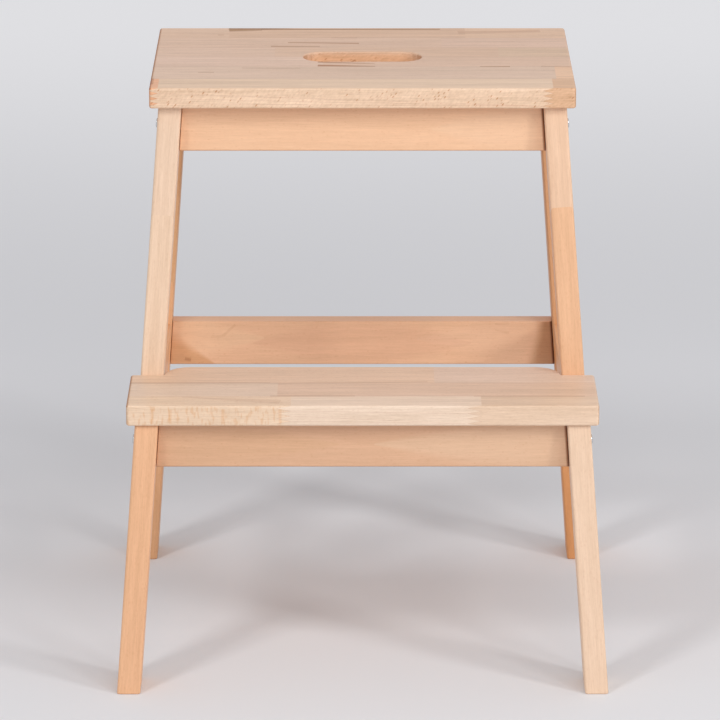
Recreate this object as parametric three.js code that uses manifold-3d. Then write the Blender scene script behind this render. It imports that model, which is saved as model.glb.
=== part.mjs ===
// Two-step stool in solid beech, as a fixed frame that does not fold.
// Millimetres, +Z up, front towards -Y. The origin is on the floor, midway between the four feet.
// Two side frames are joined by four cross rails with bolts, and carry two glued-up boards to step on.

import * as THREE from 'three';
import { mergeVertices } from 'three/addons/utils/BufferGeometryUtils.js';
import Module from 'manifold-3d';

const wasm = await Module();
wasm.setup();

// Whole stool
const HEIGHT = 500;
const BOARD = 18;
const GAP = 0.3;
const EASE = 1.5;

// Steps: the top one is a plain rectangle, the lower one has two ears and a rounded tongue between the legs
const TOP_WIDTH = 366;
const TOP_DEPTH = 235;
const TOP_FRONT = -53.5;
const SLOT_LENGTH = 104;
const SLOT_WIDTH = 37;
const SLOT_MIDDLE = 67;
const BOARD_CORNER = 2;
const LOWER_HEIGHT = 250;
const LOWER_WIDTH = 402;
const LOWER_FRONT = -165;
const EAR_DEPTH = 91;
const TONGUE_DEPTH = 115;
const TONGUE_ROUND = 23;

// Legs: one size of stock, standing on the splay of the side frames
const LEG_THICK = 20;
const LEG_DEEP = 41;
const LEG_ROUND = 2;
const FOOT_EASE = 1.2;
const FOOT_INSIDE = 191;
const TOP_INSIDE = 155.5;
const SPLAY = (FOOT_INSIDE - TOP_INSIDE) / (HEIGHT - BOARD);
const SPLAY_ANGLE = Math.atan(SPLAY);

// A leg's centre line in the side view: where it meets the floor, and how far back it leans for each mm up
const LOWER_LEG = { foot: -174.5, lean: 0.145 };
const UPPER_LEG = { foot: -84.2, lean: 0.1213 };
const REAR_LEG = { foot: 174.5, lean: -0.05 };

// Rails
const RAIL_HIGH = 41;
const LOWER_APRON_HIGH = 40;
const REAR_RAIL_DROP = 1;
const RAIL_THICK = 18;
const RAIL_EASE = 1;
const TENON_THICK = 8;
const TENON_LONG = 14;
const TENON_SHOULDER = 7;
const TOP_UNDERSIDE = HEIGHT - BOARD;
const LOWER_UNDERSIDE = LOWER_HEIGHT - BOARD;

// Bolts, with barrel nuts let into the rails from below
const BOLT_RADIUS = 3;
const BOLT_LONG = 60;
const BOLT_DROP = 1.3;
const HEAD_RADIUS = 4.1;
const HEAD_HIGH = 1.4;
const HEAD_RIM = 0.4;
const KEY_ACROSS = 4;
const KEY_DEEP = 0.9;
const BOLT_CHAMFER = 0.8;
const BOLT_END_ROOM = 2;
const NUT_RADIUS = 5;
const NUT_LONG = 14;
const NUT_DEPTH = 48;
const NUT_SLOT_WIDE = 1.4;
const NUT_SLOT_DEEP = 1.5;

// Beech dowels: one beside each bolt, and two under each upper front leg
const DOWEL_RADIUS = 4;
const DOWEL_LONG = 30;
const DOWEL_CHAMFER = 1.2;
const DOWEL_END_ROOM = 1;
const DOWEL_IN_LEG = 12;
const DOWEL_BELOW_BOLT = 12;
const LEG_DOWEL_LONG = 40;
const LEG_DOWEL_SPREAD = 20;

// Countersunk screws, up through the rails into the boards
const SCREW_RADIUS = 2;
const SCREW_LONG = 40;
const SCREW_HEAD_RADIUS = 4;
const SCREW_HEAD_RIM = 0.5;
const SCREW_HEAD_HIGH = 3;
const SCREW_POINT = 5;
const SCREW_CROSS_LONG = 3.6;
const SCREW_CROSS_WIDE = 0.9;
const SCREW_CROSS_DEEP = 1.5;
const SCREW_BORE = 4.6;
const SCREW_SUNK = 12;
const TOP_SCREW_X = 95;
const LOWER_SCREW_X = 110;
const EAR_SCREW_Y = -101;

// Facets on round pieces and holes, and on the arcs of outlines
const ROUND_SIDES = 10;
const LEG_ARC = 2;
const BOARD_ARC = 2;
const DOME_ARC = 2;
const TONGUE_ARC = 6;
const SLOT_ARC = 8;

// Corners closer than this are one point
const WELD = 1e-4;

const beech = new THREE.MeshStandardMaterial({ color: 0xe9c6a6, roughness: 0.55, metalness: 0 });
const beechBoard = new THREE.MeshStandardMaterial({ color: 0xe6c4a6, roughness: 0.5, metalness: 0 });
const dowelWood = new THREE.MeshStandardMaterial({ color: 0xdcb58f, roughness: 0.7, metalness: 0 });
const zincSteel = new THREE.MeshStandardMaterial({ color: 0xc3c5c8, roughness: 0.35, metalness: 1 });

const stool = new THREE.Group();

function toSolid(geometry) {
  const bare = geometry.index ? geometry.clone() : geometry;
  bare.deleteAttribute('normal');
  bare.deleteAttribute('uv');
  const merged = mergeVertices(bare, WELD);
  return new wasm.Manifold(new wasm.Mesh({
    numProp: 3,
    vertProperties: new Float32Array(merged.attributes.position.array),
    triVerts: new Uint32Array(merged.index.array),
  }));
}

function toGeometry(solid) {
  const mesh = solid.getMesh();
  const geometry = new THREE.BufferGeometry();
  geometry.setAttribute('position', new THREE.BufferAttribute(mesh.vertProperties, 3));
  geometry.setIndex(new THREE.BufferAttribute(mesh.triVerts, 1));
  geometry.computeVertexNormals();
  return geometry;
}

function add(name, solid, material) {
  const mesh = new THREE.Mesh(solid.isBufferGeometry ? solid : toGeometry(solid), material);
  mesh.name = name;
  stool.add(mesh);
  return mesh;
}

function cut(solid, ...cutters) {
  return cutters.reduce((left, cutter) => left.subtract(cutter), solid);
}

// An outline with arcs at its corners; a corner is [x, y, radius]
function outline(corners) {
  const shape = new THREE.Shape();
  corners.forEach(([x, y, radius = 0], i) => {
    const here = new THREE.Vector2(x, y);
    const before = new THREE.Vector2(...corners.at(i - 1)).sub(here).normalize();
    const after = new THREE.Vector2(...corners[(i + 1) % corners.length]).sub(here).normalize();
    const half = Math.acos(THREE.MathUtils.clamp(before.dot(after), -1, 1)) / 2;
    const run = radius / Math.tan(half);
    const enter = here.clone().addScaledVector(before, run);
    const leave = here.clone().addScaledVector(after, run);
    if (i === 0) shape.moveTo(enter.x, enter.y);
    else shape.lineTo(enter.x, enter.y);
    if (radius > 0) {
      const inward = before.clone().add(after).normalize();
      const middle = here.clone().addScaledVector(inward, radius / Math.sin(half));
      const from = enter.clone().sub(middle).angle();
      const to = leave.clone().sub(middle).angle();
      const turnsLeft = before.cross(after) < 0;
      shape.absarc(middle.x, middle.y, radius, from, to, !turnsLeft);
    }
  });
  shape.closePath();
  return shape;
}

// A flat outline given thickness in +Z, with eased edges, centred on z = 0
function thicken(shape, thick, ease, curveSegments = 1, bevelSegments = 1) {
  return new THREE.ExtrudeGeometry(shape, {
    depth: thick - 2 * ease,
    bevelEnabled: ease > 0,
    bevelThickness: ease,
    bevelSize: ease,
    bevelOffset: -ease,
    bevelSegments,
    curveSegments,
  }).translate(0, 0, ease - thick / 2);
}

// The axis of a cylinder or a lathe before it is turned
const UPRIGHT = new THREE.Vector3(0, 1, 0);

// A round bar between two points
function bar(radius, from, to) {
  const along = to.clone().sub(from);
  const geometry = new THREE.CylinderGeometry(radius, radius, along.length(), ROUND_SIDES);
  const turn = new THREE.Quaternion().setFromUnitVectors(UPRIGHT, along.clone().normalize());
  geometry.applyQuaternion(turn).translate(...from.clone().add(to).multiplyScalar(0.5).toArray());
  return toSolid(geometry);
}

// Side frames lean inwards, so what stands in them is pushed sideways as it rises
function lean(side, line) {
  return new THREE.Matrix4().set(
    1, 0, -side * SPLAY, side * (FOOT_INSIDE + LEG_THICK / 2),
    0, 1, line.lean, line.foot,
    0, 0, 1, 0,
    0, 0, 0, 1,
  );
}

function legY(line, z) {
  return line.foot + line.lean * z;
}

function legBar(side, line, bottom, top, grow = 0) {
  const x = LEG_THICK / 2 + grow;
  const y = LEG_DEEP / 2 + grow;
  const section = outline([[-x, -y, LEG_ROUND], [x, -y, LEG_ROUND], [x, y, LEG_ROUND], [-x, y, LEG_ROUND]]);
  const geometry = thicken(section, top - bottom, grow > 0 ? 0 : FOOT_EASE, LEG_ARC);
  geometry.translate(0, 0, (top + bottom) / 2).applyMatrix4(lean(side, line));
  return toSolid(geometry);
}

// A side rail, drawn in its side view: y from the front leg to the back one, z up
function sideRail(side, front, back, top) {
  const bottom = top - RAIL_HIGH;
  const frontFace = (z, inset) => legY(front, z) + LEG_DEEP / 2 + inset;
  const backFace = (z, inset) => legY(back, z) - LEG_DEEP / 2 - inset;
  const stand = new THREE.Matrix4().set(0, 0, 1, 0, 1, 0, 0, 0, 0, 1, 0, 0, 0, 0, 0, 1);
  const plate = (low, high, inset, thick, ease) => toSolid(
    thicken(outline([
      [frontFace(low, inset), low],
      [backFace(low, inset), low],
      [backFace(high, inset), high],
      [frontFace(high, inset), high],
    ]), thick, ease).applyMatrix4(stand).applyMatrix4(lean(side, { foot: 0, lean: 0 })),
  );
  const low = bottom + TENON_SHOULDER;
  const high = top - TENON_SHOULDER;
  return {
    solid: plate(bottom, top, GAP, RAIL_THICK, RAIL_EASE).add(plate(low, high, -TENON_LONG, TENON_THICK, 0)),
    mortise: plate(low - GAP, high + GAP, -TENON_LONG - GAP, TENON_THICK + 2 * GAP, 0),
  };
}

// A cross rail, drawn in its front view, with ends cut to the splay
function crossRail({ line, top, high }) {
  const bottom = top - high;
  const half = (z) => FOOT_INSIDE - SPLAY * z - GAP;
  const face = outline([
    [-half(bottom), bottom],
    [half(bottom), bottom],
    [half(top), top],
    [-half(top), top],
  ]);
  const geometry = thicken(face, RAIL_THICK, RAIL_EASE).rotateX(Math.PI / 2);
  return toSolid(geometry.translate(0, legY(line, top - high / 2), 0));
}

// Where a cross rail's bolt, nut and dowel lie at one end; the bolt is square to the leg's outer face, and
// passes a little below the middle of the rail
function fixing(side, { line, top, high }) {
  const middle = top - high / 2;
  const out = new THREE.Vector3(side * Math.cos(SPLAY_ANGLE), 0, Math.sin(SPLAY_ANGLE));
  const down = new THREE.Vector3(side * Math.sin(SPLAY_ANGLE), 0, -Math.cos(SPLAY_ANGLE));
  const faceZ = middle - BOLT_DROP + NUT_DEPTH * out.z;
  const faceX = side * (FOOT_INSIDE + LEG_THICK - SPLAY * faceZ);
  const face = new THREE.Vector3(faceX, legY(line, middle), faceZ);
  const inward = (distance, below = 0) =>
    face.clone().addScaledVector(out, -distance).addScaledVector(down, below);
  return { out, face, inward, nut: inward(NUT_DEPTH) };
}

// Holes for one end's fixings: through the leg, and into the rail
function fixingHoles({ inward, nut }) {
  const dowelFrom = LEG_THICK - DOWEL_IN_LEG;
  const dowelBore = bar(
    DOWEL_RADIUS + GAP,
    inward(dowelFrom - DOWEL_END_ROOM, DOWEL_BELOW_BOLT),
    inward(dowelFrom + DOWEL_LONG + DOWEL_END_ROOM, DOWEL_BELOW_BOLT),
  );
  const boltBore = bar(BOLT_RADIUS + GAP, inward(-BOLT_END_ROOM), inward(BOLT_LONG + BOLT_END_ROOM));
  const nutTop = nut.clone().add(new THREE.Vector3(0, 0, NUT_LONG / 2 + GAP));
  const nutMouth = nut.clone().add(new THREE.Vector3(0, 0, -RAIL_HIGH));
  return { dowelBore, boltBore, nutBore: bar(NUT_RADIUS + GAP, nutMouth, nutTop) };
}

// A profile of [radius, height] points, turned about the Y axis
function turned(profile) {
  return new THREE.LatheGeometry(profile.map(([r, y]) => new THREE.Vector2(r, y)), ROUND_SIDES);
}

// Bolt with a low domed head and a hexagonal key hole; its axis is +Y, with the head's seat at y = 0
function boltSolid() {
  const profile = [
    [0, -BOLT_LONG],
    [BOLT_RADIUS - BOLT_CHAMFER, -BOLT_LONG],
    [BOLT_RADIUS, BOLT_CHAMFER - BOLT_LONG],
    [BOLT_RADIUS, GAP],
    [HEAD_RADIUS, GAP],
  ];
  for (let i = 0; i < DOME_ARC; i += 1) {
    const turn = (i / DOME_ARC) * (Math.PI / 2);
    profile.push([HEAD_RADIUS * Math.cos(turn), GAP + HEAD_RIM + (HEAD_HIGH - HEAD_RIM) * Math.sin(turn)]);
  }
  profile.push([0, GAP + HEAD_HIGH]);
  const keyRadius = KEY_ACROSS / Math.sqrt(3);
  const key = new THREE.CylinderGeometry(keyRadius, keyRadius, 2 * KEY_DEEP, 6);
  return cut(toSolid(turned(profile)), toSolid(key.translate(0, GAP + HEAD_HIGH, 0)));
}

// Barrel nut: an upright cylinder with a threaded hole across it and a slot in its lower end
function nutSolid({ out, nut }) {
  const half = new THREE.Vector3(0, 0, NUT_LONG / 2);
  const body = bar(NUT_RADIUS, nut.clone().sub(half), nut.clone().add(half));
  const reach = out.clone().multiplyScalar(NUT_RADIUS * 2);
  const thread = bar(BOLT_RADIUS + GAP, nut.clone().sub(reach), nut.clone().add(reach));
  const slot = new THREE.BoxGeometry(NUT_RADIUS * 3, NUT_SLOT_WIDE, 2 * NUT_SLOT_DEEP);
  return cut(body, thread, toSolid(slot.translate(nut.x, nut.y, nut.z - NUT_LONG / 2)));
}

// Dowel with chamfered ends, between two points
function dowelSolid(from, to) {
  const along = to.clone().sub(from);
  const half = along.length() / 2;
  const geometry = turned([
    [0, -half],
    [DOWEL_RADIUS - DOWEL_CHAMFER, -half],
    [DOWEL_RADIUS, DOWEL_CHAMFER - half],
    [DOWEL_RADIUS, half - DOWEL_CHAMFER],
    [DOWEL_RADIUS - DOWEL_CHAMFER, half],
    [0, half],
  ]);
  const turn = new THREE.Quaternion().setFromUnitVectors(UPRIGHT, along.normalize());
  geometry.applyQuaternion(turn).translate(...from.clone().add(to).multiplyScalar(0.5).toArray());
  return toSolid(geometry);
}

// Countersunk screw standing upright, its head down; the origin is at the underside of the head
function screwSolid() {
  const body = turned([
    [0, 0],
    [SCREW_HEAD_RADIUS, 0],
    [SCREW_HEAD_RADIUS, SCREW_HEAD_RIM],
    [SCREW_RADIUS, SCREW_HEAD_HIGH],
    [SCREW_RADIUS, SCREW_LONG - SCREW_POINT],
    [0, SCREW_LONG],
  ]);
  const cross = [[SCREW_CROSS_LONG, SCREW_CROSS_WIDE], [SCREW_CROSS_WIDE, SCREW_CROSS_LONG]].map(
    ([x, y]) => toSolid(new THREE.BoxGeometry(x, y, 2 * SCREW_CROSS_DEEP)),
  );
  return cut(toSolid(body.rotateX(Math.PI / 2)), ...cross);
}

// The hole for a screw: a wide bore from below, then a narrow one that ends in the board
function screwHole(x, y, railTop) {
  const seat = railTop - RAIL_HIGH + SCREW_SUNK;
  const at = (z) => new THREE.Vector3(x, y, z);
  const wide = bar(SCREW_BORE, at(seat - 2 * SCREW_SUNK), at(seat + SCREW_HEAD_HIGH + GAP));
  return wide.add(bar(SCREW_RADIUS + GAP, at(seat), at(seat + SCREW_LONG + GAP)));
}

const SIDES = [['left', -1], ['right', 1]];

// Cross rails, each with the legs that it is bolted to, the height of its top edge and how high it is
const underTop = TOP_UNDERSIDE - GAP;
const underLower = LOWER_UNDERSIDE - GAP;
const rearTop = underLower - REAR_RAIL_DROP;
const crossRails = [
  { name: 'upper_front_apron', place: 'upper_front', line: UPPER_LEG, top: underTop, high: RAIL_HIGH },
  { name: 'upper_rear_apron', place: 'upper_rear', line: REAR_LEG, top: underTop, high: RAIL_HIGH },
  { name: 'lower_front_apron', place: 'lower_front', line: LOWER_LEG, top: underLower, high: LOWER_APRON_HIGH },
  { name: 'rear_rail', place: 'lower_rear', line: REAR_LEG, top: rearTop, high: RAIL_HIGH },
];

// Screws: two up through each apron, and one through each lower side rail
const apronScrew = ({ line, top, high }, x, name) => ({ name, x, y: legY(line, top - high / 2), top });
const screws = SIDES.flatMap(([word, side]) => [
  apronScrew(crossRails[0], side * TOP_SCREW_X, `screw_upper_front_${word}`),
  apronScrew(crossRails[1], side * TOP_SCREW_X, `screw_upper_rear_${word}`),
  apronScrew(crossRails[2], side * LOWER_SCREW_X, `screw_lower_front_${word}`),
  {
    name: `screw_ear_${word}`,
    x: side * (FOOT_INSIDE + LEG_THICK / 2 - SPLAY * (LOWER_UNDERSIDE - RAIL_HIGH / 2)),
    y: EAR_SCREW_Y,
    top: underLower,
  },
]);
const screwHoles = screws.map(({ x, y, top }) => screwHole(x, y, top));

const bolt = toGeometry(boltSolid());
const railCuts = crossRails.map(() => []);

for (const [word, side] of SIDES) {
  const fixings = crossRails.map((rail) => fixing(side, rail));
  const holes = fixings.map(fixingHoles);
  const legHoles = (...rails) => rails.flatMap((i) => [holes[i].boltBore, holes[i].dowelBore]);
  const upperRail = sideRail(side, UPPER_LEG, REAR_LEG, underTop);
  const lowerRail = sideRail(side, LOWER_LEG, REAR_LEG, underLower);

  const legFoot = LOWER_UNDERSIDE;
  const jointMiddle = LOWER_UNDERSIDE - GAP / 2;
  const legDowels = [['front', -1], ['back', 1]].map(([end, way]) => {
    const at = (z) => new THREE.Vector3(
      side * (FOOT_INSIDE + LEG_THICK / 2 - SPLAY * z),
      legY(UPPER_LEG, legFoot) + (way * LEG_DOWEL_SPREAD) / 2,
      z,
    );
    return { name: `leg_dowel_${end}_${word}`, at, bore: bar(
      DOWEL_RADIUS + GAP,
      at(jointMiddle - LEG_DOWEL_LONG / 2 - DOWEL_END_ROOM),
      at(jointMiddle + LEG_DOWEL_LONG / 2 + DOWEL_END_ROOM),
    ) };
  });
  const legDowelBores = legDowels.map(({ bore }) => bore);

  add(`rear_leg_${word}`, cut(
    legBar(side, REAR_LEG, 0, underTop),
    upperRail.mortise,
    lowerRail.mortise,
    ...legHoles(1, 3),
  ), beech);
  add(`upper_front_leg_${word}`, cut(
    legBar(side, UPPER_LEG, legFoot, underTop),
    upperRail.mortise,
    ...legHoles(0),
    ...legDowelBores,
  ), beech);
  add(`lower_front_leg_${word}`, cut(
    legBar(side, LOWER_LEG, 0, underLower),
    lowerRail.mortise,
    ...legHoles(2),
  ), beech);
  add(`upper_side_rail_${word}`, upperRail.solid, beech);
  add(`lower_side_rail_${word}`, cut(lowerRail.solid, ...legDowelBores, ...screwHoles), beech);

  for (const { name, at } of legDowels) {
    const ends = [-1, 1].map((way) => at(jointMiddle + (way * LEG_DOWEL_LONG) / 2));
    add(name, dowelSolid(...ends), dowelWood);
  }
  crossRails.forEach(({ place }, i) => {
    const { out, face, inward } = fixings[i];
    const boltMesh = add(`bolt_${place}_${word}`, bolt, zincSteel);
    boltMesh.position.copy(face);
    boltMesh.quaternion.setFromUnitVectors(UPRIGHT, out);
    add(`barrel_nut_${place}_${word}`, nutSolid(fixings[i]), zincSteel);
    const dowelFrom = LEG_THICK - DOWEL_IN_LEG;
    const ends = [dowelFrom, dowelFrom + DOWEL_LONG].map((distance) => inward(distance, DOWEL_BELOW_BOLT));
    add(`rail_dowel_${place}_${word}`, dowelSolid(...ends), dowelWood);
    railCuts[i].push(holes[i].boltBore, holes[i].dowelBore, holes[i].nutBore);
  });
}

crossRails.forEach((rail, i) => {
  add(rail.name, cut(crossRail(rail), ...railCuts[i], ...screwHoles), beech);
});

const screwShape = toGeometry(screwSolid());
for (const { name, x, y, top } of screws) {
  add(name, screwShape, zincSteel).position.set(x, y, top - RAIL_HIGH + SCREW_SUNK);
}

// Top step: a rectangle with a round-ended hand slot in its middle
const topOutline = outline([
  [-TOP_WIDTH / 2, TOP_FRONT, BOARD_CORNER],
  [TOP_WIDTH / 2, TOP_FRONT, BOARD_CORNER],
  [TOP_WIDTH / 2, TOP_FRONT + TOP_DEPTH, BOARD_CORNER],
  [-TOP_WIDTH / 2, TOP_FRONT + TOP_DEPTH, BOARD_CORNER],
]);
const slotRadius = SLOT_WIDTH / 2;
const slotEnd = SLOT_LENGTH / 2 - slotRadius;
const slot = new THREE.Path();
slot.absarc(slotEnd, SLOT_MIDDLE, slotRadius, -Math.PI / 2, Math.PI / 2, false);
slot.absarc(-slotEnd, SLOT_MIDDLE, slotRadius, Math.PI / 2, (3 * Math.PI) / 2, false);
slot.closePath();
topOutline.holes.push(slot);
const topBoard = thicken(topOutline, BOARD, EASE, SLOT_ARC, BOARD_ARC).translate(0, 0, HEIGHT - BOARD / 2);
add('top_step', cut(toSolid(topBoard), ...screwHoles), beechBoard);

// Lower step: ears over the lower legs, notched round the upper legs, and a tongue between them
const tongueHalf = FOOT_INSIDE - SPLAY * LOWER_HEIGHT - GAP;
const earHalf = LOWER_WIDTH / 2;
const earBack = LOWER_FRONT + EAR_DEPTH;
const tongueBack = LOWER_FRONT + TONGUE_DEPTH;
const lowerOutline = outline([
  [-earHalf, LOWER_FRONT, BOARD_CORNER],
  [earHalf, LOWER_FRONT, BOARD_CORNER],
  [earHalf, earBack, BOARD_CORNER],
  [tongueHalf, earBack],
  [tongueHalf, tongueBack, TONGUE_ROUND],
  [-tongueHalf, tongueBack, TONGUE_ROUND],
  [-tongueHalf, earBack],
  [-earHalf, earBack, BOARD_CORNER],
]);
const lowerBoard = thicken(lowerOutline, BOARD, EASE, TONGUE_ARC, BOARD_ARC);
lowerBoard.translate(0, 0, LOWER_HEIGHT - BOARD / 2);
const upperLegRoom = SIDES.map(
  ([, side]) => legBar(side, UPPER_LEG, LOWER_UNDERSIDE - BOARD, LOWER_HEIGHT + BOARD, GAP),
);
add('lower_step', cut(toSolid(lowerBoard), ...upperLegRoom, ...screwHoles), beechBoard);

export default stool;
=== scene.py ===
"""A two-step beech stool, dressed piece by piece in the order in which it is put together. Metres, +Z up."""

import math
from collections import namedtuple

import bmesh
import bpy
from mathutils import Matrix, Vector


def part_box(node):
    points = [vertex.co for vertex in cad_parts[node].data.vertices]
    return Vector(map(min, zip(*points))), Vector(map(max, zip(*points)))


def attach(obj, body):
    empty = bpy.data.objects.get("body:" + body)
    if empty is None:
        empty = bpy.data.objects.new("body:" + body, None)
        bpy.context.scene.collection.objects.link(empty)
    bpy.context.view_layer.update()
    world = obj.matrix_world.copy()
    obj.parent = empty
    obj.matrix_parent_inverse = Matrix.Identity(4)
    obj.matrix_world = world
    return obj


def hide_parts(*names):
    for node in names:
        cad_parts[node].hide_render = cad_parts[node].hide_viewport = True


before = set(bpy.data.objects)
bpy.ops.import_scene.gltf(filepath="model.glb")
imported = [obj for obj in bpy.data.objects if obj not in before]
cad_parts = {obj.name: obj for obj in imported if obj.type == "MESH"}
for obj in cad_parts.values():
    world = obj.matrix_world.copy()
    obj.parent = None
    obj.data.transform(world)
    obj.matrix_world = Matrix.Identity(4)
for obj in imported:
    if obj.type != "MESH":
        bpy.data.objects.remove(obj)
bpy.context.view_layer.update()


# Rear legs
# Two long bars of solid beech, sawn to the splay, planed and rounded along their edges. They stand on their
# end grain. The side rails are tenoned and glued into them, and the cross rails are bolted to them.
BOTH = ("left", "right")
LEG_THICK = 0.020
LEG_DEEP = 0.041
LEG_ROUND = 0.0022
LEG_FINGERS = 7
LEG_FINGER_LONG = 0.010
FOOT_EASE = 0.0012
ARC_STEPS = 5
SHARP_ANGLE = math.radians(32)
MM = 0.001

LegLine = namedtuple("LegLine", "side foot lean low high")


def leg_line(node_name, leans_back):
    """A leg's centre line from its box: its side, its foot, and how far it leans for each metre up."""
    low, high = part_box(node_name)
    side = -1 if low.x < 0 else 1
    way = 1 if leans_back else -1
    rise = high.z - low.z - 2 * FOOT_EASE
    foot_x, top_x = (low.x, high.x) if side < 0 else (high.x, low.x)
    foot_y, top_y = (low.y, high.y) if leans_back else (high.y, low.y)
    foot_x, top_x = foot_x - side * LEG_THICK / 2, top_x + side * LEG_THICK / 2
    foot_y, top_y = foot_y + way * LEG_DEEP / 2, top_y - way * LEG_DEEP / 2
    lean = Vector(((top_x - foot_x) / rise, (top_y - foot_y) / rise, 1))
    foot = Vector((foot_x, foot_y, low.z + FOOT_EASE)) - lean * (low.z + FOOT_EASE)
    return LegLine(side, foot, lean, low.z, high.z)


def rounded(corners):
    """A closed outline, anticlockwise, with arcs at its corners; a corner is (x, y) or (x, y, radius)."""
    points = []
    for i, (x, y, *radius) in enumerate(corners):
        here = Vector((x, y))
        if not radius:
            points.append(here)
            continue
        before = (Vector(corners[i - 1][:2]) - here).normalized()
        after = (Vector(corners[(i + 1) % len(corners)][:2]) - here).normalized()
        half = before.angle(after) / 2
        centre = here + (before + after).normalized() * radius[0] / math.sin(half)
        spoke = here + before * radius[0] / math.tan(half) - centre
        turn = math.copysign(math.pi - 2 * half, -before.cross(after))
        steps = max(2, round(abs(turn) / (math.pi / 2) * ARC_STEPS))
        points += [centre + Matrix.Rotation(turn * step / steps, 2) @ spoke for step in range(steps + 1)]
    return points


def rectangle(left, front, right, back, radius):
    """A rectangle's outline with rounded corners."""
    corners = (left, front), (right, front), (right, back), (left, back)
    return rounded([(*corner, radius) for corner in corners])


def inset(points, distance):
    """The outline moved inwards by a distance, or outwards by a negative one."""
    moved_points = []
    for i, here in enumerate(points):
        came = (here - points[i - 1]).normalized()
        goes = (points[(i + 1) % len(points)] - here).normalized()
        inward = Vector((-came.y - goes.y, came.x + goes.x)).normalized()
        moved_points.append(here + inward * distance / inward.dot(Vector((-came.y, came.x))))
    return moved_points


def placed(name, data):
    """A new object in the scene."""
    made = bpy.data.objects.new(name, data)
    bpy.context.scene.collection.objects.link(made)
    return made


def solid(name, shape):
    """A new object with a shape as its mesh."""
    mesh = bpy.data.meshes.new(name)
    shape.to_mesh(mesh)
    shape.free()
    return placed(name, mesh)


def slab(name, outline, low, high, ease, place=Matrix(), holes=()):
    """A closed body: an outline with holes, made thick along Z with rounded rims, and put in its place."""
    quarter = [math.pi / 2 * step / ARC_STEPS for step in range(ARC_STEPS + 1 if ease else 1)]
    rim = [(ease * (1 - math.sin(turn)), ease * (1 - math.cos(turn))) for turn in quarter]
    profile = [(shrink, low + rise) for shrink, rise in rim]
    profile += [(shrink, high - rise) for shrink, rise in reversed(rim)]
    shape = bmesh.new()
    bottom, top = [], []
    for points, inward in [(outline, 1), *((hole, -1) for hole in holes)]:
        rings = [
            [shape.verts.new((p.x, p.y, z)) for p in inset(points, inward * shrink)]
            for shrink, z in profile
        ]
        for lower, upper in zip(rings, rings[1:]):
            for i in range(len(points)):
                shape.faces.new((lower[i - 1], lower[i], upper[i], upper[i - 1]))
        for ring, edges in ((rings[0], bottom), (rings[-1], top)):
            edges += [shape.edges.get((ring[i - 1], ring[i])) for i in range(len(points))]
    for edges in (bottom, top):
        if holes:
            bmesh.ops.triangle_fill(shape, edges=edges, use_beauty=True)
        else:
            bmesh.ops.contextual_create(shape, geom=edges)
    shape.transform(place)
    bmesh.ops.recalc_face_normals(shape, faces=shape.faces)
    return solid(name, shape)


def plain(piece):
    """Turns a piece with its modifiers into a plain mesh."""
    bpy.context.view_layer.update()
    mesh = bpy.data.meshes.new_from_object(piece.evaluated_get(bpy.context.evaluated_depsgraph_get()))
    piece.modifiers.clear()
    piece.data = mesh
    return piece


def combine(piece, others, operation="DIFFERENCE"):
    """Cuts other bodies out of a piece, or joins them to it, and removes them."""
    for other in others:
        modifier = piece.modifiers.new(other.name, "BOOLEAN")
        modifier.operation = operation
        modifier.solver = "EXACT"
        modifier.object = other
    plain(piece)
    for other in others:
        bpy.data.objects.remove(other)
    return piece


BORE_SIDES = 24
GAP = 0.0003
RAIL_THICK = 0.018
TENON_THICK = 0.008
TENON_LONG = 0.014
TENON_SHOULDER = 0.007
BOLT_RADIUS = 0.003
BOLT_LONG = 0.060
BOLT_ROOM = 0.002
BOLT_DROP = 0.0013
NUT_DEPTH = 0.048
DOWEL_RADIUS = 0.004
DOWEL_LONG = 0.030
DOWEL_ROOM = 0.001
DOWEL_START = 0.008
DOWEL_BELOW = 0.012

rear_lines, upper_lines, lower_lines = (
    {word: leg_line(f"{name}_{word}", leans_back) for word in BOTH}
    for name, leans_back in (("rear_leg", False), ("upper_front_leg", True), ("lower_front_leg", True))
)


def bore(radius, start, end):
    """A round cutter between two points."""
    along = end - start
    shape = bmesh.new()
    bmesh.ops.create_cone(
        shape, cap_ends=True, segments=BORE_SIDES, radius1=radius, radius2=radius, depth=along.length
    )
    turn = along.to_track_quat("Z", "Y").to_matrix().to_4x4()
    shape.transform(Matrix.Translation((start + end) / 2) @ turn)
    return solid("bore", shape)


def plate(name, level, word, shoulder, short, thick, ease=0):
    """An upright plate along a side rail, from the front leg to the rear one. It is short of the legs' faces
    by one measure, and of the rail's edges by the shoulder."""
    low, high = (corner.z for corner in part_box(f"{level}_side_rail_{word}"))
    low, high = low + shoulder, high - shoulder
    front, back = (upper_lines if level == "upper" else lower_lines)[word], rear_lines[word]
    outline = [
        (line.foot.y + line.lean.y * z + way * (LEG_DEEP / 2 + short), z)
        for line, way, z in ((front, 1, low), (back, -1, low), (back, -1, high), (front, 1, high))
    ]
    stand = Matrix(((0, 0, 1, 0), (1, 0, 0, 0), (0, 1, 0, 0), (0, 0, 0, 1)))
    shear = Matrix.Translation((front.foot.x, 0, 0))
    shear[0][2] = front.lean.x
    return slab(name, rounded(outline), -thick / 2, thick / 2, ease, shear @ stand)


def mortise(level, word):
    """The room for a side rail's tenons."""
    return plate("mortise", level, word, TENON_SHOULDER - GAP, -TENON_LONG - GAP, TENON_THICK + 2 * GAP)


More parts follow.
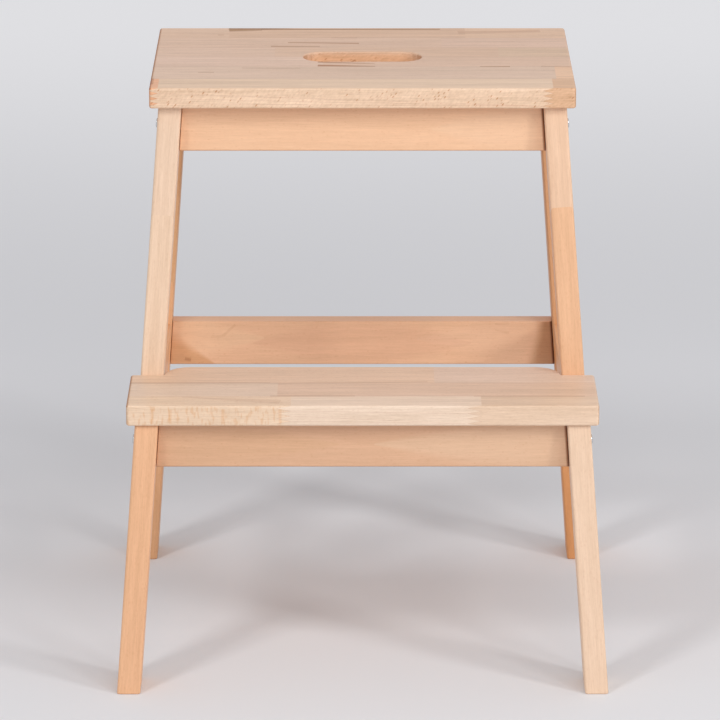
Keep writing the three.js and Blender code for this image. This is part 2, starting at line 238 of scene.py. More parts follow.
def fixing(line, rail):
    """The bolt at one end of a cross rail: square to the leg's outer face, and a little below the middle of
    the rail at its nut. Gives a way to name points by their depth from that face and their drop."""
    middle = sum(corner.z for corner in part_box(rail)) / 2
    splay = math.atan(-line.side * line.lean.x)
    out = Vector((line.side * math.cos(splay), 0, math.sin(splay)))
    down = Vector((line.side * math.sin(splay), 0, -math.cos(splay)))
    height = middle - BOLT_DROP + NUT_DEPTH * out.z
    face = line.foot + line.lean * height + Vector((line.side * LEG_THICK / 2, 0, 0))
    face.y = line.foot.y + line.lean.y * middle
    return lambda depth, below=0: face - out * depth + down * below


fixings = {
    (place, word): fixing(lines[word], rail)
    for place, lines, rail in (
        ("upper_front", upper_lines, "upper_front_apron"), ("upper_rear", rear_lines, "upper_rear_apron"),
        ("lower_front", lower_lines, "lower_front_apron"), ("lower_rear", rear_lines, "rear_rail"),
    )
    for word in BOTH
}


def fixing_bores(place, word):
    """Holes for the bolt and the dowel at one end of a cross rail."""
    at = fixings[place, word]
    start, end = DOWEL_START - DOWEL_ROOM, DOWEL_START + DOWEL_LONG + DOWEL_ROOM
    return [
        bore(BOLT_RADIUS + GAP, at(-BOLT_ROOM), at(BOLT_LONG + BOLT_ROOM)),
        bore(DOWEL_RADIUS + GAP, at(start, DOWEL_BELOW), at(end, DOWEL_BELOW)),
    ]


# A length of timber: where it ends along the grain, its colour, where the pith of its tree lies (across the
# stack of fingers, and the other way across from the middle of its row), how strong its flecks are, their
# slope, and how strong its ray bars are
Stave = namedtuple("Stave", "end tone pith flecks slope rays", defaults=(0.12, 0.0, 0.2))
ENDLESS = (-math.inf, math.inf)


def tint(red, green, blue):
    """A colour as a screen shows it, from 0 to 255, made linear."""
    return [((c / 255 + 0.055) / 1.055) ** 2.4 for c in (red, green, blue)]


def smooth(piece):
    """Shades a piece smooth between its sharp edges."""
    piece.data.shade_smooth()
    piece.data.set_sharp_from_angle(angle=SHARP_ANGLE)


def timber(piece, axes, rows, fingers=0, finger_long=0.009):
    """Marks a piece out in staves. Axes turn timber space into the piece's space: x across the stack of
    fingers, y the other way across, z along the grain. Rows are (upper y, [staves]), from the lowest y, and
    the last of either ends beyond the piece."""
    shape = bmesh.new()
    shape.from_mesh(piece.data)
    bmesh.ops.triangulate(shape, faces=shape.faces)
    shape.transform(axes.inverted())
    heights, widths = [v.co.x for v in shape.verts], [v.co.y for v in shape.verts]
    low, high = min(heights), max(heights)
    levels = [low + (high - low) * step / fingers / 2 for step in range(1, 2 * fingers)]

    def edge_of(stave, x):
        """Where a stave ends at a height, on the zigzag of its finger joint."""
        share = (x - low) / (high - low)
        return stave.end + finger_long * (abs((share * fingers) % 1 * 2 - 1) - 0.5)

    def cut(point, normal, x=ENDLESS, y=ENDLESS, z=ENDLESS):
        """Cuts the faces whose middles lie within the ranges along a plane."""
        faces = {
            f for f in shape.faces
            if all(a < b < c for (a, c), b in zip((x, y, z), f.calc_center_median()))
        }
        around = faces | {e for f in faces for e in f.edges} | {v for f in faces for v in f.verts}
        bmesh.ops.bisect_plane(shape, geom=list(around), dist=1e-7, plane_co=point, plane_no=normal)

    for upper, _ in rows[:-1]:
        cut((0, upper, 0), (0, 1, 0))
    start = -math.inf
    for upper, staves in rows:
        for stave in staves[:-1]:
            joint = stave.end - finger_long / 2, stave.end + finger_long / 2
            for end in joint:
                cut((0, 0, end), (0, 0, 1), y=(start, upper))
            for level in levels:
                cut((level, 0, 0), (1, 0, 0), y=(start, upper), z=joint)
            for below, above in zip([low, *levels], [*levels, high]):
                middle = (below + above) / 2
                rise = edge_of(stave, above - 1e-6) - edge_of(stave, below + 1e-6)
                normal = Vector((-rise, 0, above - below)).normalized()
                cut((middle, 0, edge_of(stave, middle)), normal, (below, above), (start, upper), joint)
        start = upper

    layers = shape.loops.layers
    tone = layers.float_color.new("tone")
    place, heart, figure, side, joints = (
        layers.float_vector.new(name) for name in ("place", "heart", "figure", "side", "joints")
    )
    shape.normal_update()
    for face in shape.faces:
        centre = face.calc_center_median()
        row = next(i for i, (upper, _) in enumerate(rows) if centre.y < upper)
        staves = rows[row][1]
        index = next(i for i, stave in enumerate(staves) if centre.z < edge_of(stave, centre.x))
        stave = staves[index]
        borders = (rows[row - 1][0] if row else -1, min(rows[row][0], 1))
        middle = (max(borders[0], min(widths)) + min(borders[1], max(widths))) / 2
        seed = (row * 7 + index * 3) % 11 + len(piece.name) * 0.7 + (5 if "right" in piece.name else 0)
        for loop in face.loops:
            here = loop.vert.co
            to_joint = min(abs(here.z - edge_of(s, here.x)) for s in staves[max(index - 1, 0):index + 1])
            loop[place] = here
            loop[tone] = (*tint(*stave.tone), 1)
            loop[heart] = (stave.pith[0], stave.pith[1] + middle, seed)
            loop[figure] = (stave.flecks, stave.slope, stave.rays)
            loop[side] = face.normal
            loop[joints] = (*borders, to_joint)
    shape.transform(axes)
    shape.to_mesh(piece.data)
    shape.free()
    smooth(piece)
    piece.modifiers.new("flat faces", "WEIGHTED_NORMAL").keep_sharp = True
    return plain(piece)


class Field:
    """A node's output, a number or a vector at every point, that can be written into sums."""

    def __init__(self, socket):
        self.socket = socket
        self.tree = socket.id_data
        self.is_vector = socket.type in ("VECTOR", "RGBA")

    def output(self, out):
        """Another output of the same node."""
        return Field(self.socket.node.outputs[out])

    def __mul__(self, other):
        other_is_vector = other.is_vector if isinstance(other, Field) else isinstance(other, (tuple, Vector))
        if self.is_vector == other_is_vector:
            return calc("MULTIPLY", self, other)
        vector, number = (self, other) if self.is_vector else (other, self)
        return node(self.tree, "ShaderNodeVectorMath", {0: vector, "Scale": number}, operation="SCALE")

    __add__ = lambda self, other: calc("ADD", self, other)
    __sub__ = lambda self, other: calc("SUBTRACT", self, other)
    __rsub__ = lambda self, other: calc("SUBTRACT", other, self)
    __truediv__ = lambda self, other: calc("DIVIDE", self, other)
    __pow__ = lambda self, other: calc("POWER", self, other)
    __abs__ = lambda self: calc("ABSOLUTE", self)


def feed(made, inputs):
    """Gives a node its inputs: each a number, a colour, a vector, a field, or a list of fields."""
    for key, value in inputs.items():
        for item in value if isinstance(value, list) else [value]:
            if isinstance(item, Field):
                made.id_data.links.new(item.socket, made.inputs[key])
            else:
                made.inputs[key].default_value = item


def node(tree, kind, inputs=None, out=0, **settings):
    """Adds a node, and gives one of its outputs as a field."""
    made = tree.nodes.new(kind)
    for key, value in settings.items():
        setattr(made, key, value)
    feed(made, inputs or {})
    return Field(made.outputs[out])


def calc(operation, *values):
    """A sum on fields and numbers. One on vectors gives a vector, but for a length or a dot product."""
    fields = [value for value in values if isinstance(value, Field)]
    kind, out = "ShaderNodeMath", 0
    if any(field.is_vector for field in fields):
        kind, out = "ShaderNodeVectorMath", "Value" if operation in ("LENGTH", "DOT_PRODUCT") else "Vector"
    return node(fields[0].tree, kind, dict(enumerate(values)), out, operation=operation)


def parts(vector):
    """A vector's three numbers."""
    first = node(vector.tree, "ShaderNodeSeparateXYZ", {0: vector})
    return [first.output(i) for i in range(3)]


def joined(tree, x=0, y=0, z=0):
    """Three numbers made a vector."""
    return node(tree, "ShaderNodeCombineXYZ", {0: x, 1: y, 2: z})


def ramp(value, start, end):
    """0 before start and 1 after end, with a soft way between them."""
    return node(
        value.tree, "ShaderNodeMapRange", {"Value": value, "From Min": start, "From Max": end},
        interpolation_type="SMOOTHSTEP",
    )


def noise(place, stretch, seed, detail=1, out=0):
    """Noise about nought, by half at most: a number, or a vector from the output Color."""
    made = node(place.tree, "ShaderNodeTexNoise", {
        "Vector": place * stretch, "W": seed, "Scale": 1, "Detail": detail
    }, out, noise_dimensions="4D")
    return made - ((0.5, 0.5, 0.5) if made.is_vector else 0.5)


def mixed(amount, first, second, blend="MULTIPLY"):
    """A colour stained with another, or blended into it, by an amount."""
    return node(
        amount.tree, "ShaderNodeMix", {0: amount, 6: first, 7: second}, 2, data_type="RGBA", blend_type=blend
    )


def bumped(height, strength, distance):
    """A surface's direction where it rises and falls a little."""
    return node(height.tree, "ShaderNodeBump", {"Strength": strength, "Distance": distance, "Height": height})


def new_material(name):
    """A material and its tree."""
    material = bpy.data.materials.new(name)
    material.use_nodes = True
    return material, material.node_tree


# The streaks' colour: stains in the wood, and painted shade along arrises
STAIN_AND_SHADE = (0.55, 0.32, 0.13, 1)
Streak = namedtuple("Streak", "start end widths strength stain", defaults=(STAIN_AND_SHADE,))


def streaked(colour, streak):
    """A line between two points of the piece, from one width to another, dark or pale. Some are marks in the
    wood, some painted shade.
    """
    start, way = Vector(streak.start), Vector(streak.end) - Vector(streak.start)
    from_start = node(colour.tree, "ShaderNodeTexCoord", out="Object") - start
    share = calc("DOT_PRODUCT", from_start, way) / way.length_squared
    off = calc("LENGTH", from_start - share * way)
    first, last = (width / 2 for width in streak.widths)
    amount = ramp(off / (share * (last - first) + first), 1.0, 0.3) * streak.strength
    return mixed(amount * calc("COMPARE", share, 0.5, 0.5), colour, streak.stain)


def dashes(place, seed, sizes, chances):
    """Small dashes, one in each cell of a size along X, Y and Z. Each cell draws a number: up to the first
    chance it shows none, from the second a full one."""
    cells = node(place.tree, "ShaderNodeTexVoronoi", {
        "Vector": place * tuple(1 / size for size in sizes), "W": seed, "Scale": 1
    }, voronoi_dimensions="4D")
    drawn = node(place.tree, "ShaderNodeSeparateColor", {0: cells.output("Color")})
    return ramp(cells, 0.42, 0.16) * ramp(drawn, *chances)


RING_WIDE = 2.9
RING_BEND = 9.0
SPECKS = 0.22
SHADE_SPREAD = (0.8, 1.0, 1.25)
FLECK_STAIN = (0.72, 0.50, 0.36, 1)
BAR_STAIN = (0.93, 0.80, 0.66, 1)
END_GRAIN_STAIN = (0.76, 0.64, 0.55, 1)
GLUE_STAIN = (0.84, 0.74, 0.70, 1)


def beech(name, streaks=(), contrast=1.0):
    """Clear-lacquered beech: yearly rings round the pith, fibre streaks along the grain, as strong as the
    contrast says, and small brown rays. The mesh's attributes say where and how; sizes are in millimetres."""
    material, tree = new_material(name)
    told = lambda name, out="Vector": node(tree, "ShaderNodeAttribute", out=out, attribute_name=name)
    place = told("place") * (1 / MM)
    heart = told("heart")
    seed = parts(heart)[2]
    fleck_strength, slope, bar_strength = parts(told("figure"))
    side = told("side")

    # Rings round the pith, bent a little, that show in some places only
    bend = noise(place, (0.02, 0.02, 0.005), seed, out="Color") * RING_BEND
    from_pith = (place - heart * (1 / MM) + bend) * (1, 1, 0)
    radius = calc("LENGTH", from_pith)
    ring = calc("FRACT", radius / RING_WIDE + noise(joined(tree, radius, 0, seed), (0.35, 1, 1), seed))
    clearness = ramp(noise(place, (0.03, 0.03, 0.006), seed), -0.02, 0.12)
    late_wood = ring ** 3 * clearness

    # Fibres, from broad bands to the pores
    bands = noise(place, (0.10, 0.10, 0.005), seed)
    broad = noise(place, (0.33, 0.33, 0.014), seed, 2)
    fine = noise(place, (1.2, 1.2, 0.05), seed)
    pores = noise(place, (1.4, 1.4, 0.30), seed)

    # Rays, seen end on as small slanting dashes, and edgeways as bars across the grain
    end_on = abs(calc("DOT_PRODUCT", side, calc("NORMALIZE", from_pith))) ** 2
    sloped = node(tree, "ShaderNodeVectorRotate", {"Vector": place, "Angle": slope}, rotation_type="Y_AXIS")
    large = dashes(sloped, seed, (1.8, 3.0, 4.8), (0.10, 0.72))
    small = dashes(sloped, seed, (1.3, 2.2, 3.2), (0.20, 0.90))
    flecks = calc("MAXIMUM", large * end_on * fleck_strength, small * end_on * SPECKS)
    mottle = noise(sloped, (0.60, 0.60, 0.24), seed, 1.5) * end_on * fleck_strength
    bars = ramp(noise(place, (0.15, 0.15, 0.50), seed, 1.5), 0.0, 0.16) * bar_strength * (1 - end_on)

    # Colour, darker on the end grain and along the glued joints
    shade = (bands * 0.26 + broad * 0.28 + fine * 0.30 + pores * 0.18) * contrast
    shade = shade + mottle * 0.38 - late_wood * 0.03
    colour = told("tone", "Color") * (shade * SHADE_SPREAD + (1, 1, 1))
    colour = mixed(flecks, colour, FLECK_STAIN)
    colour = mixed(bars, colour, BAR_STAIN)
    side_x, _, side_z = parts(side)
    end_grain = ramp(abs(side_z), 0.5, 0.95)
    colour = mixed(end_grain, colour, END_GRAIN_STAIN)
    across = parts(told("place"))[1]
    *borders, to_joint = parts(told("joints"))
    gap = abs(side_x) * 0.002 + to_joint * 0.45
    for border in borders:
        gap = calc("MINIMUM", gap, abs(across - border))
    colour = mixed(ramp(gap, 0.0004, 0.0001), colour, GLUE_STAIN)
    for streak in streaks:
        colour = streaked(colour, streak)

    feed(tree.nodes["Principled BSDF"], {
        "Base Color": colour, "Roughness": fine * 0.25 + 0.44 + end_grain * 0.15,
        "Normal": bumped(fine + pores - flecks * 0.5, 0.35, 0.00012),
    })
    return material


def axes_of(stack, across, along, origin):
    """Timber space as a matrix: its x, y and z directions and its origin."""
    return Matrix.Translation(origin) @ Matrix((stack, across, along)).transposed().to_4x4()


def leg(name, node_name, line, staves, holes):
    """A leg between its two levels, leaning with its line."""
    x, y = LEG_THICK / 2, LEG_DEEP / 2
    shear = Matrix.Translation(line.foot)
    shear[0][2], shear[1][2] = line.lean.x, line.lean.y
    section = rectangle(-x, -y, x, y, LEG_ROUND)
    piece = combine(slab(name, section, line.low, line.high, FOOT_EASE, shear), holes)
    along = line.lean.normalized()
    across = (Vector((1, 0, 0)) - along * along.x).normalized()
    axes = axes_of(along.cross(across), across, along, line.foot)
    timber(piece, axes, [(math.inf, staves)], LEG_FINGERS, LEG_FINGER_LONG)
    piece.data.materials.append(frame_beech)
    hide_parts(node_name)
    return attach(piece, "root")


frame_beech = beech("lacquered beech, frame", contrast=0.8)
REAR_STAVES = {
    "left": [Stave(0.27, (234, 178, 131), (-0.07, 0.03), slope=0.1),
             Stave(1, (225, 173, 126), (-0.05, -0.05))],
    "right": [Stave(0.21, (218, 151, 96), (-0.06, -0.03)),
              Stave(1, (225, 168, 121), (-0.09, 0.02), slope=0.1)],
}
for word, staves in REAR_STAVES.items():
    holes = [mortise("upper", word), mortise("lower", word)]
    holes += fixing_bores("upper_rear", word) + fixing_bores("lower_rear", word)
    leg(f"rear_bar_{word}", f"rear_leg_{word}", rear_lines[word], staves, holes)


# Upper front legs
# Two short bars of the same stock. Each stands behind an ear of the lower step, doweled to the lower side
# rail, and leans back to the top step. The right one is jointed from a pale and a warmer length.
LEG_DOWEL_LONG = 0.040
LEG_DOWEL_SPREAD = 0.020


def leg_dowel_ends(word, way, room=0):
    """The two ends of a dowel between an upper leg's foot and the side rail that it stands on."""
    line = upper_lines[word]
    y = line.foot.y + line.lean.y * line.low + way * LEG_DOWEL_SPREAD / 2
    middle, half = line.low - GAP / 2, LEG_DOWEL_LONG / 2 + room
    return [Vector((line.foot.x + line.lean.x * z, y, z)) for z in (middle - half, middle + half)]


def leg_dowel_bores(word):
    """Holes for the two dowels under an upper leg."""
    return [bore(DOWEL_RADIUS + GAP, *leg_dowel_ends(word, way, DOWEL_ROOM)) for way in (-1, 1)]


UPPER_STAVES = {
    "left": [Stave(0.385, (236, 204, 175), (-0.11, 0.01)), Stave(1, (234, 202, 174), (-0.08, -0.02))],
    "right": [Stave(0.392, (234, 185, 145), (-0.1, 0.02)), Stave(1, (233, 194, 162), (-0.12, 0.01))],
}
for word, staves in UPPER_STAVES.items():
    holes = [mortise("upper", word)] + fixing_bores("upper_front", word) + leg_dowel_bores(word)
    leg(f"upper_bar_{word}", f"upper_front_leg_{word}", upper_lines[word], staves, holes)


# Lower front legs
# Two bars of the same stock and the same lean, from the floor to the lower step. The right one is paler.
LOWER_STAVES = {
    "left": [Stave(1, (234, 181, 139), (-0.1, 0.01))],
    "right": [Stave(1, (236, 203, 174), (-0.12, -0.01))],
}
for word, staves in LOWER_STAVES.items():
    holes = [mortise("lower", word)] + fixing_bores("lower_front", word)
    leg(f"lower_bar_{word}", f"lower_front_leg_{word}", lower_lines[word], staves, holes)


# Side rails
# Beech boards on edge that join each front leg to the rear leg. Their ends are tenoned into the legs. A screw
# goes up through the lower one into the step's ear.
RAIL_EASE = 0.001
SCREW_BORE = 0.0046
SCREW_RADIUS = 0.002
SCREW_HEAD_HIGH = 0.003
SCREW_SUNK = 0.012


def screw_axis(place):
    """The levels of a screw's head and tip, and a way to name a point of its axis by its level."""
    low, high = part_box(f"screw_{place}")
    return low.z, high.z, lambda z: Vector(((low.x + high.x) / 2, (low.y + high.y) / 2, z))


def screw_bores(*places):
    """For each screw a wide hole from below, and a narrow one that ends in the board above."""
    holes = []
    for place in places:
        head, tip, at = screw_axis(place)
        holes.append(bore(SCREW_BORE, at(head - 2 * SCREW_SUNK), at(head + SCREW_HEAD_HIGH + GAP)))
        holes.append(bore(SCREW_RADIUS + GAP, at(head), at(tip + GAP)))
    return holes


def side_rail(level, word, tone, holes):
    """A side rail with a tenon at either end."""
    piece = plate(f"{level}_side_board_{word}", level, word, 0, GAP, RAIL_THICK, RAIL_EASE)
    combine(piece, [plate("tenons", level, word, TENON_SHOULDER, -TENON_LONG, TENON_THICK)], "UNION")
    combine(piece, holes)
    low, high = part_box(f"{level}_side_rail_{word}")
    axes = axes_of((1, 0, 0), (0, 0, 1), (0, 1, 0), (low + high) / 2)
    timber(piece, axes, [(math.inf, [Stave(1, tone, (-0.09, 0.03))])])
    piece.data.materials.append(frame_beech)
    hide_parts(f"{level}_side_rail_{word}")
    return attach(piece, "root")


for word in BOTH:
    side_rail("upper", word, (232, 178, 133), [])
    side_rail("lower", word, (228, 173, 128), leg_dowel_bores(word) + screw_bores(f"ear_{word}"))


# Dowels under the upper legs
# Fluted beech pins with chamfered ends, glued half in the leg's foot and half in the lower side rail, two
# to a leg. The flutes let the glue and the air out of the hole.
FLUTES = 16
SIDES_PER_FLUTE = 4
DOWEL_ROWS = 25
DOWEL_TONE = (226, 188, 150)
RIM_WITHIN = 0.0001


def planted(name, build, spots, sizes, material):
    """Plants a shape on spots, each a place and the way that the shape's own Z turns, as one plain mesh. The
    shape is built of nodes from the sizes, which are inputs of its tree."""
    tree = bpy.data.node_groups.new(name, "GeometryNodeTree")
    tree.interface.new_socket("Geometry", in_out="OUTPUT", socket_type="NodeSocketGeometry")
    tree.interface.new_socket("Geometry", in_out="INPUT", socket_type="NodeSocketGeometry")
    for size in sizes:
        tree.interface.new_socket(size, in_out="INPUT", socket_type="NodeSocketFloat")
    given = {socket.name: Field(socket) for socket in tree.nodes.new("NodeGroupInput").outputs}
    way = node(tree, "GeometryNodeInputNamedAttribute", {"Name": "way"}, data_type="FLOAT_VECTOR")
    turn = node(tree, "FunctionNodeAlignRotationToVector", {"Vector": way})
    many = node(tree, "GeometryNodeInstanceOnPoints", {
        "Points": given["Geometry"], "Instance": build(tree, given), "Rotation": turn
    })
    real = node(tree, "GeometryNodeRealizeInstances", {"Geometry": many})
    done = node(tree, "GeometryNodeSetMaterial", {"Geometry": real, "Material": material})
    feed(tree.nodes.new("NodeGroupOutput"), {"Geometry": done})

    mesh = bpy.data.meshes.new(name)
    mesh.from_pydata([place for place, _ in spots], [], [])
    ways = mesh.attributes.new("way", "FLOAT_VECTOR", "POINT")
    for item, (_, way) in zip(ways.data, spots):
        item.vector = way
    piece = placed(name, mesh)
    modifier = piece.modifiers.new(name, "NODES")
    modifier.node_group = tree
    for socket in tree.interface.items_tree:
        if socket.name in sizes:
            modifier[socket.identifier] = sizes[socket.name]
    smooth(plain(piece))
    return piece


def cylinder(tree, sides, radius, depth, rows=1, rings=1):
    """An upright cylinder about its own middle, with rows along its side and rings in its ends."""
    return node(tree, "GeometryNodeMeshCylinder", {
        "Vertices": sides, "Side Segments": rows, "Fill Segments": rings, "Radius": radius, "Depth": depth
    }, fill_type="TRIANGLE_FAN" if rings > 1 else "NGON")


def polar(tree):
    """A point's height, its angle round Z and its distance from Z."""
    x, y, z = parts(node(tree, "GeometryNodeInputPosition"))
    return z, calc("ARCTAN2", y, x), calc("SQRT", x ** 2 + y ** 2)


def set_polar(shape, angle, radius, height):
    """Moves a shape's points to an angle, a radius and a height."""
    place = joined(shape.tree, calc("COSINE", angle) * radius, calc("SINE", angle) * radius, height)
    return node(shape.tree, "GeometryNodeSetPosition", {"Geometry": shape, "Position": place})


def stored(shape, **values):
    """Keeps values on a shape's corners under their names: the tone as a colour, the others as vectors."""
    for name, value in values.items():
        shape = node(shape.tree, "GeometryNodeStoreNamedAttribute", {
            "Geometry": shape, "Name": name, "Value": value
        }, data_type="FLOAT_COLOR" if name == "tone" else "FLOAT_VECTOR", domain="CORNER")
    return shape


def dowel(tree, given):
    """A fluted pin about its own middle. Its corners also say where the timber's grain runs."""
    blank = cylinder(tree, FLUTES * SIDES_PER_FLUTE, given["Radius"], given["Length"], DOWEL_ROWS)
    height, angle, radius = polar(tree)
    chamfer = calc("MAXIMUM", given["Chamfer"] - (given["Length"] / 2 - abs(height)), 0)
    flute = calc("MAXIMUM", calc("COSINE", angle * FLUTES), 0) * given["Flute Depth"]
    on_rim = calc("COMPARE", radius, given["Radius"], RIM_WITHIN)
    return stored(
        set_polar(blank, angle, radius - (chamfer + flute) * on_rim, height),
        place=node(tree, "GeometryNodeInputPosition"), side=node(tree, "GeometryNodeInputNormal"),
        tone=(*tint(*DOWEL_TONE), 1), heart=(-0.06, 0.03, 2), figure=(0.5, 0, 0.3), joints=(1, 1, 1),
    )


def pin_spot(start, stop):
    """The spot for a pin between two points."""
    return (start + stop) / 2, (stop - start).normalized()


dowel_beech = beech("turned beech, dowels")
PIN = {"Radius": DOWEL_RADIUS, "Chamfer": 0.0012, "Flute Depth": 0.0002}
spots = [pin_spot(*leg_dowel_ends(word, way)) for word in BOTH for way in (-1, 1)]
leg_pins = planted("leg_pins", dowel, spots, dict(PIN, Length=LEG_DOWEL_LONG), dowel_beech)
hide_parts(*[f"leg_dowel_{end}_{word}" for end in ("front", "back") for word in BOTH])
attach(leg_pins, "root")


# Cross rails
# Four beech boards on edge between the side frames: two under the top step, one under the lower step and one
# between the rear legs. Each is cut to the splay and drawn tight by a bolt at either end.
NUT_RADIUS = 0.005
NUT_LONG = 0.014
RAIL_CONTRAST = 0.6
# Painted shade: a dark line along each cross rail's lower front arris
ARRIS_WIDE = 0.003
ARRIS_SHADE = 0.35
# Painted shade: a dark line along the arris of each cross rail's right end, where the gap to the leg is in
# shadow
END_WIDE = 0.0056
END_SHADE = 0.92
END_PAINTED_SHADE = (0.30, 0.16, 0.08, 1)


def on_face(marks, spot):
    """Streaks on a flat face. A mark has two measures for each end, which spot makes a point of the piece,
    and the rest of a streak."""
    return [Streak(spot(*start), spot(*end), *rest) for start, end, *rest in marks]


def pairs(*places):
    """The names of the screws at the left and the right of each place."""
    return [f"{place}_{word}" for place in places for word in BOTH]


def cross_rail(name, node_name, place, tone, pith, marks=(), screwed=True):
    """A cross rail, drawn from the front, with its ends cut to the splay, its holes, and marks by x and z.
    The arris of its right end and its lower front arris are darkened with painted shade."""
    low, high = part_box(node_name)
    splay = rear_lines["right"].lean.x
    inside = rear_lines["right"].foot.x - LEG_THICK / 2 - GAP
    half = lambda z: inside + splay * z
    outline = [(-half(low.z), low.z), (half(low.z), low.z), (half(high.z), high.z), (-half(high.z), high.z)]
    stand = Matrix(((1, 0, 0, 0), (0, 0, -1, (low.y + high.y) / 2), (0, 1, 0, 0), (0, 0, 0, 1)))
    piece = slab(name, rounded(outline), -RAIL_THICK / 2, RAIL_THICK / 2, RAIL_EASE, stand)
    holes = screw_bores(*pairs(place)) if screwed else []
    for word in BOTH:
        nut = fixings[place, word](NUT_DEPTH)
        mouth, roof = Vector((nut.x, nut.y, low.z - NUT_LONG)), nut + Vector((0, 0, NUT_LONG / 2 + GAP))
        holes += fixing_bores(place, word) + [bore(NUT_RADIUS + GAP, mouth, roof)]
    combine(piece, holes)
    axes = axes_of((0, 1, 0), (0, 0, 1), (1, 0, 0), (low + high) / 2)
    timber(piece, axes, [(math.inf, [Stave(1, tone, pith)])])
    # The first streak is painted shade on the lower front arris, the second painted shade on the right end's
    # arris
    streaks = on_face([
        ((low.x, low.z), (high.x, low.z), (ARRIS_WIDE, ARRIS_WIDE), ARRIS_SHADE),
        ((half(low.z), low.z), (half(high.z), high.z), (END_WIDE, END_WIDE), END_SHADE, END_PAINTED_SHADE),
        *marks,
    ], lambda x, z: (x, low.y, z))
    piece.data.materials.append(beech(f"lacquered beech, {name.replace('_', ' ')}", streaks, RAIL_CONTRAST))
    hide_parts(node_name)
    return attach(piece, "root")


UPPER_MARKS = [((0.060, 0.460), (0.157, 0.460), (0.002, 0.090), 0.7, (1.01, 1.05, 1.09, 1))]
LOWER_MARKS = [
    ((0.01, 0.212), (0.176, 0.212), (0.002, 0.09), 0.8, (1.06, 1.16, 1.22, 1)),
    ((-0.02, 0.212), (-0.176, 0.212), (0.002, 0.09), 0.6, (0.95, 0.94, 0.88, 1)),
]
REAR_MARKS = [
    ((-0.139, 0.2158), (-0.1278, 0.2168), (0.003, 0.004), 0.12),
    ((-0.1278, 0.2168), (-0.1164, 0.2278), (0.004, 0.003), 0.15),
    ((0.1218, 0.2282), (0.1346, 0.2285), (0.003, 0.003), 0.12),
    ((0.1218, 0.2225), (0.1347, 0.2196), (0.002, 0.004), 0.12),
    ((-0.1795, 0.203), (-0.133, 0.188), (0.046, 0.002), 0.6, (0.76, 0.58, 0.36, 1)),
    ((-0.09, 0.215), (-0.175, 0.215), (0.002, 0.08), 0.7, (1.05, 1.13, 1.16, 1)),
    ((-0.1, 0.21), (0.000, 0.21), (0.002, 0.08), 0.7, (0.95, 0.91, 0.91, 1)),
    ((0.1, 0.21), (0.000, 0.21), (0.002, 0.08), 0.7, (0.95, 0.91, 0.91, 1)),
    ((-0.163, 0.195), (-0.1574, 0.1938), (0.0045, 0.0045), 0.4),
    # Painted shadow: the broad dark patch at the right end stands in for the shade cast by the right legs
    ((0.17, 0.18), (0.172, 0.23), (0.052, 0.022), 0.72, (0.5, 0.38, 0.24, 1)),
    ((0.05, 0.214), (0.16, 0.214), (0.002, 0.08), 0.5, (1.01, 1.05, 1.1, 1)),
]
cross_rail("upper_front_board", "upper_front_apron", "upper_front", (240, 194, 156), (-0.10, 0.03),
           UPPER_MARKS)
cross_rail("upper_rear_board", "upper_rear_apron", "upper_rear", (233, 186, 148), (-0.09, -0.03))
cross_rail("lower_front_board", "lower_front_apron", "lower_front", (222, 176, 141), (-0.12, 0.02),
           LOWER_MARKS)
cross_rail("rear_board", "rear_rail", "lower_rear", (240, 192, 154), (-0.06, -0.02), REAR_MARKS, False)


# Dowels beside the bolts
# The same fluted pins, a little shorter, one under each bolt. Each keeps the end of its rail from turning.
spots = [
    pin_spot(at(DOWEL_START, DOWEL_BELOW), at(DOWEL_START + DOWEL_LONG, DOWEL_BELOW))
    for at in fixings.values()
]
rail_pins = planted("rail_pins", dowel, spots, dict(PIN, Length=DOWEL_LONG), dowel_beech)
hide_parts(*[f"rail_dowel_{place}_{word}" for place, word in fixings])
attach(rail_pins, "root")


# Barrel nuts
# Short steel cylinders, zinc plated, dropped into the rails from below. Each has a threaded hole across it
# for its bolt and a slot in its lower end, by which it is turned to face the bolt.
ROUND_SIDES = 48
NUT_HOLE_SIDES = 32
ZINC_BLUE = (0.58, 0.59, 0.62, 1)
ZINC_PALE = (0.70, 0.70, 0.69, 1)


def zinc(name):
    """Bright zinc plating: a pale blue-grey sheen, clouded a little, with fine pits."""
    material, tree = new_material(name)
    place = node(tree, "ShaderNodeTexCoord", out="Object") * (1 / MM)
    cloud = noise(place, (0.35, 0.35, 0.35), 1, 2)
    pits = noise(place, (3, 3, 3), 2)
    feed(tree.nodes["Principled BSDF"], {
        "Base Color": mixed(ramp(cloud, -0.25, 0.25), ZINC_BLUE, ZINC_PALE, "MIX"), "Metallic": 1,
        "Roughness": cloud * 0.20 + 0.18, "Normal": bumped(pits, 0.2, 0.00005),
    })
    return material


def carved(body, *cutters):
    """A body with shapes cut out of it."""
    return node(body.tree, "GeometryNodeMeshBoolean", {
        "Mesh 1": body, "Mesh 2": list(cutters)
    }, operation="DIFFERENCE", solver="EXACT")


def fused(*bodies):
    """Several bodies made one."""
    return node(bodies[0].tree, "GeometryNodeMeshBoolean", {
        "Mesh 2": list(bodies)
    }, operation="UNION", solver="EXACT")


def moved(shape, place=(0, 0, 0), turn=(0, 0, 0)):
    """A shape in another place."""
    return node(shape.tree, "GeometryNodeTransform", {
        "Geometry": shape, "Translation": place, "Rotation": turn
    })


def bar(tree, x, y, z):
    """A rectangular bar about its own middle."""
    return node(tree, "GeometryNodeMeshCube", {"Size": joined(tree, x, y, z)})


def barrel_nut(tree, given):
    """An upright cylinder with a hole across it and a slot at its foot."""
    body = cylinder(tree, ROUND_SIDES, given["Radius"], given["Length"])
    reach = given["Radius"] * 4
    hole = moved(cylinder(tree, NUT_HOLE_SIDES, given["Hole Radius"], reach), turn=(0, math.pi / 2, 0))
    slot = bar(tree, reach, given["Slot Width"], given["Slot Depth"] * 2)
    return carved(body, hole, moved(slot, joined(tree, z=given["Length"] * -0.5)))


